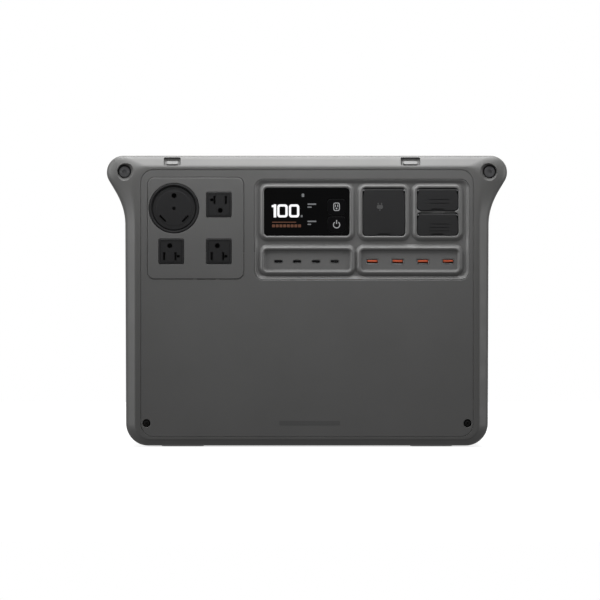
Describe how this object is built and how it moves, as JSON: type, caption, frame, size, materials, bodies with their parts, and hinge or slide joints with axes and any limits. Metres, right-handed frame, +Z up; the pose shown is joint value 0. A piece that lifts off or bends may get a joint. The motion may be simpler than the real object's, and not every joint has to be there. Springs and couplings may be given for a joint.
{
  "type": "portable power station",
  "caption": "Boxed battery power supply with a front panel of mains sockets, low-voltage ports and a display, a carrying bar at each side and fans inside.",
  "frame": {"origin": "middle of the bounding box on the surface that the feet stand on", "axes": "+Z up, front face with the sockets and display towards -Y, +X to the right seen from the front"},
  "size_m": [0.448, 0.225, 0.326],
  "materials": {
    "case": "satin",
    "panel": "matte",
    "bezel": "satin",
    "socket": "satin",
    "cover": "matte",
    "foot_rubber": "matte",
    "display_glass": "gloss",
    "key": "gloss",
    "orange_tongue": "satin",
    "bright_steel": "satin",
    "dark_steel": "satin",
    "sheet_metal": "satin",
    "cell_case": "satin",
    "copper": "satin",
    "circuit_board": "satin",
    "fan_plastic": "satin",
    "cable": "matte"
  },
  "bodies": {
    "case": {"front_frame": "case", "rear_frame": "case", "front_panel": "panel", "rear_panel": "panel", "top_cover": "panel", "bottom_tray": "case", "side_panel_left": "case", "side_panel_right": "case", "handle_bar_left": "case", "handle_bar_right": "case", "catch_plate_left": "bright_steel", "catch_plate_right": "bright_steel", "ac_socket_plate": "panel", "round_socket": "socket", "square_socket_upper": "socket", "square_socket_lower_left": "socket", "square_socket_lower_right": "socket", "port_bezel": "bezel", "display_window": "display_glass", "display_module": "socket", "usb_c_ports": "bright_steel", "usb_a_ports": "bright_steel", "usb_a_tongues": "orange_tongue", "charge_inlet": "socket", "dc_port_upper": "socket", "dc_port_lower": "socket", "charge_cover_pin": "bright_steel", "dc_cover_upper_pin": "bright_steel", "dc_cover_lower_pin": "bright_steel", "control_board": "circuit_board", "battery_cradle": "sheet_metal", "battery_block_left": "cell_case", "battery_block_right": "cell_case", "battery_board": "circuit_board", "electronics_deck": "sheet_metal", "inverter_board": "circuit_board", "transformer": "copper", "heatsink": "sheet_metal", "fan_frame_left": "fan_plastic", "fan_frame_right": "fan_plastic", "battery_cable": "cable", "handle_bolt_front_left": "dark_steel", "panel_screw_front_left": "dark_steel", "foot_front_left": "foot_rubber", "handle_bolt_front_right": "dark_steel", "panel_screw_front_right": "dark_steel", "foot_front_right": "foot_rubber", "handle_bolt_rear_left": "dark_steel", "panel_screw_rear_left": "dark_steel", "foot_rear_left": "foot_rubber", "handle_bolt_rear_right": "dark_steel", "panel_screw_rear_right": "dark_steel", "foot_rear_right": "foot_rubber"},
    "charge_cover": {"charge_cover": "cover"},
    "dc_cover_upper": {"dc_cover_upper": "cover"},
    "dc_cover_lower": {"dc_cover_lower": "cover"},
    "ac_key": {"ac_key": "key"},
    "power_key": {"power_key": "key"},
    "fan_rotor_left": {"fan_rotor_left": "fan_plastic"},
    "fan_rotor_right": {"fan_rotor_right": "fan_plastic"}
  },
  "joints": [
    {"name": "charge_cover_hinge", "type": "hinge", "parent": "case", "child": "charge_cover", "pos_m": [0.0858, -0.1095, 0.2869], "axis": [-1, 0, 0], "range_deg": [0, 100]},
    {"name": "dc_cover_upper_hinge", "type": "hinge", "parent": "case", "child": "dc_cover_upper", "pos_m": [0.14575, -0.1095, 0.2869], "axis": [-1, 0, 0], "range_deg": [0, 100]},
    {"name": "dc_cover_lower_hinge", "type": "hinge", "parent": "case", "child": "dc_cover_lower", "pos_m": [0.14575, -0.1095, 0.2594], "axis": [-1, 0, 0], "range_deg": [0, 100]},
    {"name": "ac_key_press", "type": "slide", "parent": "case", "child": "ac_key", "axis": [0, 1, 0], "range_m": [0, 0.0012], "stiffness_N_per_m": 400},
    {"name": "power_key_press", "type": "slide", "parent": "case", "child": "power_key", "axis": [0, 1, 0], "range_m": [0, 0.0012], "stiffness_N_per_m": 400},
    {"name": "fan_spin_left", "type": "hinge", "parent": "case", "child": "fan_rotor_left", "pos_m": [-0.1785, 0.026, 0.193], "axis": [-1, 0, 0], "continuous": true},
    {"name": "fan_spin_right", "type": "hinge", "parent": "case", "child": "fan_rotor_right", "pos_m": [0.1785, 0.026, 0.193], "axis": [1, 0, 0], "continuous": true}
  ]
}
